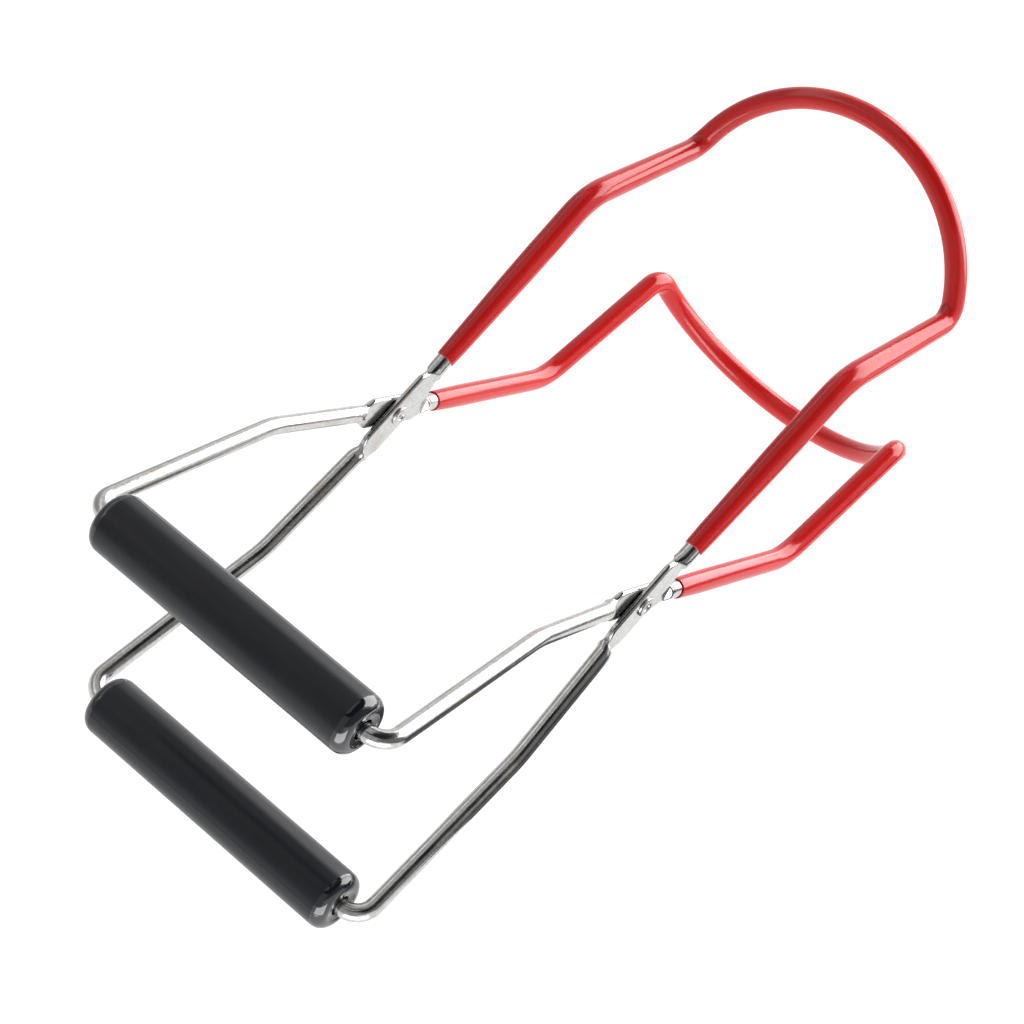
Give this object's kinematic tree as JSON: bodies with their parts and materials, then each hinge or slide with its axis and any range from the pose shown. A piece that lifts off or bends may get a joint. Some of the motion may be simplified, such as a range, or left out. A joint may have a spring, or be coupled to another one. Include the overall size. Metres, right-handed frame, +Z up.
{
  "type": "jar lifter",
  "caption": "Scissor-hinged bent-wire canning tongs with loose tubular grips and vinyl-coated jaws whose arcs wrap a jar's neck.",
  "frame": {"origin": "on the surface that the open tool lies on, under the middle of its bounding box", "axes": "+X along the hinge and both grips, +Y from the handles towards the jaws, +Z up"},
  "size_m": [0.1042, 0.2598, 0.1236],
  "materials": {
    "plated_wire": "bright plated steel wire",
    "rivet": "bright plated steel",
    "red_vinyl": "glossy red dip coating",
    "black_grip": "satin black moulding"
  },
  "bodies": {
    "lower_jaw_half": {"lower_jaw_frame": "plated_wire", "lower_jaw_coating": "red_vinyl", "left_pivot_rivet": "rivet", "right_pivot_rivet": "rivet"},
    "upper_jaw_half": {"upper_jaw_frame": "plated_wire", "upper_jaw_coating": "red_vinyl"},
    "upper_grip": {"upper_handle_grip": "black_grip"},
    "lower_grip": {"lower_handle_grip": "black_grip"}
  },
  "joints": [
    {"name": "scissor_hinge", "type": "hinge", "parent": "lower_jaw_half", "child": "upper_jaw_half", "pos_m": [0, -0.01419, 0.05105], "axis": [1, 0, 0], "range_deg": [-21, 100]},
    {"name": "upper_grip_spin", "type": "hinge", "parent": "lower_jaw_half", "child": "upper_grip", "pos_m": [-0.001, -0.12161, 0.0773], "axis": [1, 0, 0], "continuous": true},
    {"name": "lower_grip_spin", "type": "hinge", "parent": "upper_jaw_half", "child": "lower_grip", "pos_m": [0.001, -0.11619, 0.00834], "axis": [1, 0, 0], "continuous": true}
  ]
}
